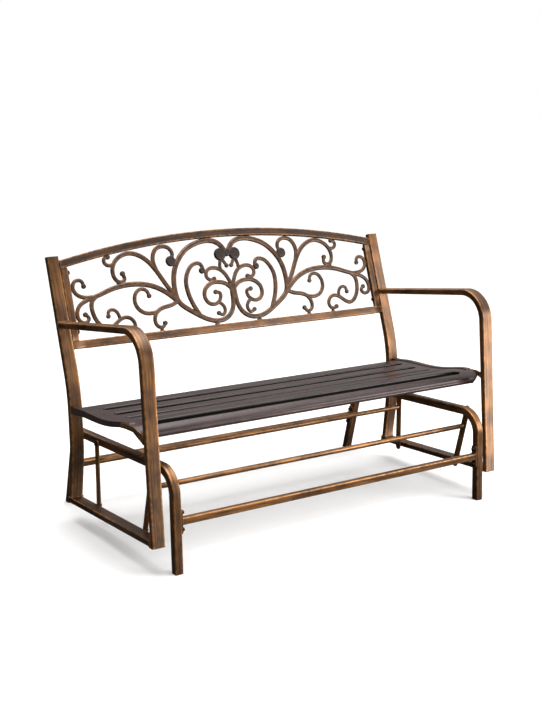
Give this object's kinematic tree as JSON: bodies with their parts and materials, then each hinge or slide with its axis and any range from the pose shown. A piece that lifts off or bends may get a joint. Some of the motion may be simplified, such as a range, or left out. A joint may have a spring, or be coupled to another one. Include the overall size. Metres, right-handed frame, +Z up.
{
  "type": "patio glider bench",
  "caption": "Steel patio glider bench with scrollwork back, slotted seat and arm rests, hung from a tube base on swing links.",
  "frame": {"origin": "centre of the footprint on the floor: midway across, and midway between the front of the front feet and the rear of the rear feet", "axes": "+Z up, +X to the bench's own left seen from behind (the viewer's right from the front), the front of the seat faces -Y"},
  "size_m": [1.27, 0.7142, 0.8453],
  "materials": {
    "bronze_frame": "antique bronze powder coat, brushed highlights, semi-gloss",
    "bronze_scroll": "antique bronze powder coat on cast scrollwork, semi-gloss",
    "brown_seat": "dark brown powder coat, satin",
    "bronze_links": "antique bronze powder coat, semi-gloss",
    "dark_fasteners": "blackened steel, satin"
  },
  "bodies": {
    "seat": {"arm_l": "bronze_frame", "arm_r": "bronze_frame", "back_arch": "bronze_frame", "back_bottom_rail": "bronze_frame", "back_side_l": "bronze_frame", "back_side_r": "bronze_frame", "bolt_back_low_l": "dark_fasteners", "bolt_back_low_r": "dark_fasteners", "bolt_back_up_l": "dark_fasteners", "bolt_back_up_r": "dark_fasteners", "bolt_seat_l": "dark_fasteners", "bolt_seat_r": "dark_fasteners", "pivot_front_low_l": "dark_fasteners", "pivot_front_low_r": "dark_fasteners", "pivot_rear_low_l": "dark_fasteners", "pivot_rear_low_r": "dark_fasteners", "post_l": "bronze_frame", "post_r": "bronze_frame", "scroll_centre": "bronze_scroll", "scroll_wing_l": "bronze_scroll", "scroll_wing_r": "bronze_scroll", "seat_bracket_l": "brown_seat", "seat_bracket_r": "brown_seat", "seat_pan": "brown_seat", "seat_rail_l": "bronze_frame", "seat_rail_r": "bronze_frame", "seat_side_l": "brown_seat", "seat_side_r": "brown_seat"},
    "base": {"base_front_bar": "bronze_frame", "base_rear_bar": "bronze_frame", "base_side_l": "bronze_frame", "base_side_r": "bronze_frame", "bolt_front_low_l": "dark_fasteners", "bolt_front_low_r": "dark_fasteners", "bolt_front_up_l": "dark_fasteners", "bolt_front_up_r": "dark_fasteners", "bolt_rear_low_l": "dark_fasteners", "bolt_rear_low_r": "dark_fasteners", "bolt_rear_up_l": "dark_fasteners", "bolt_rear_up_r": "dark_fasteners", "pivot_front_top_l": "dark_fasteners", "pivot_front_top_r": "dark_fasteners", "pivot_rear_top_l": "dark_fasteners", "pivot_rear_top_r": "dark_fasteners"},
    "front_link": {"link_front_l": "bronze_links", "link_front_r": "bronze_links", "rod_front": "bronze_links"},
    "rear_link": {"link_rear_l": "bronze_links", "link_rear_r": "bronze_links", "rod_rear": "bronze_links"}
  },
  "joints": [
    {"name": "rear_link_swing", "type": "hinge", "parent": "base", "child": "rear_link", "pos_m": [0, 0.08703, 0.26172], "axis": [1, 0, 0], "range_deg": [-12, 12]},
    {"name": "seat_glide", "type": "hinge", "parent": "rear_link", "child": "seat", "pos_m": [0, 0.08289, 0.07117], "axis": [1, 0, 0], "range_deg": [-14, 14]},
    {"name": "front_link_swing", "type": "hinge", "parent": "base", "child": "front_link", "pos_m": [0, -0.25448, 0.27991], "axis": [1, 0, 0], "range_deg": [-12, 12]}
  ],
  "couplings": [
    {"joint": "seat_glide", "follows": "rear_link_swing", "ratio": -1.1654},
    {"joint": "front_link_swing", "follows": "rear_link_swing", "ratio": 1}
  ]
}
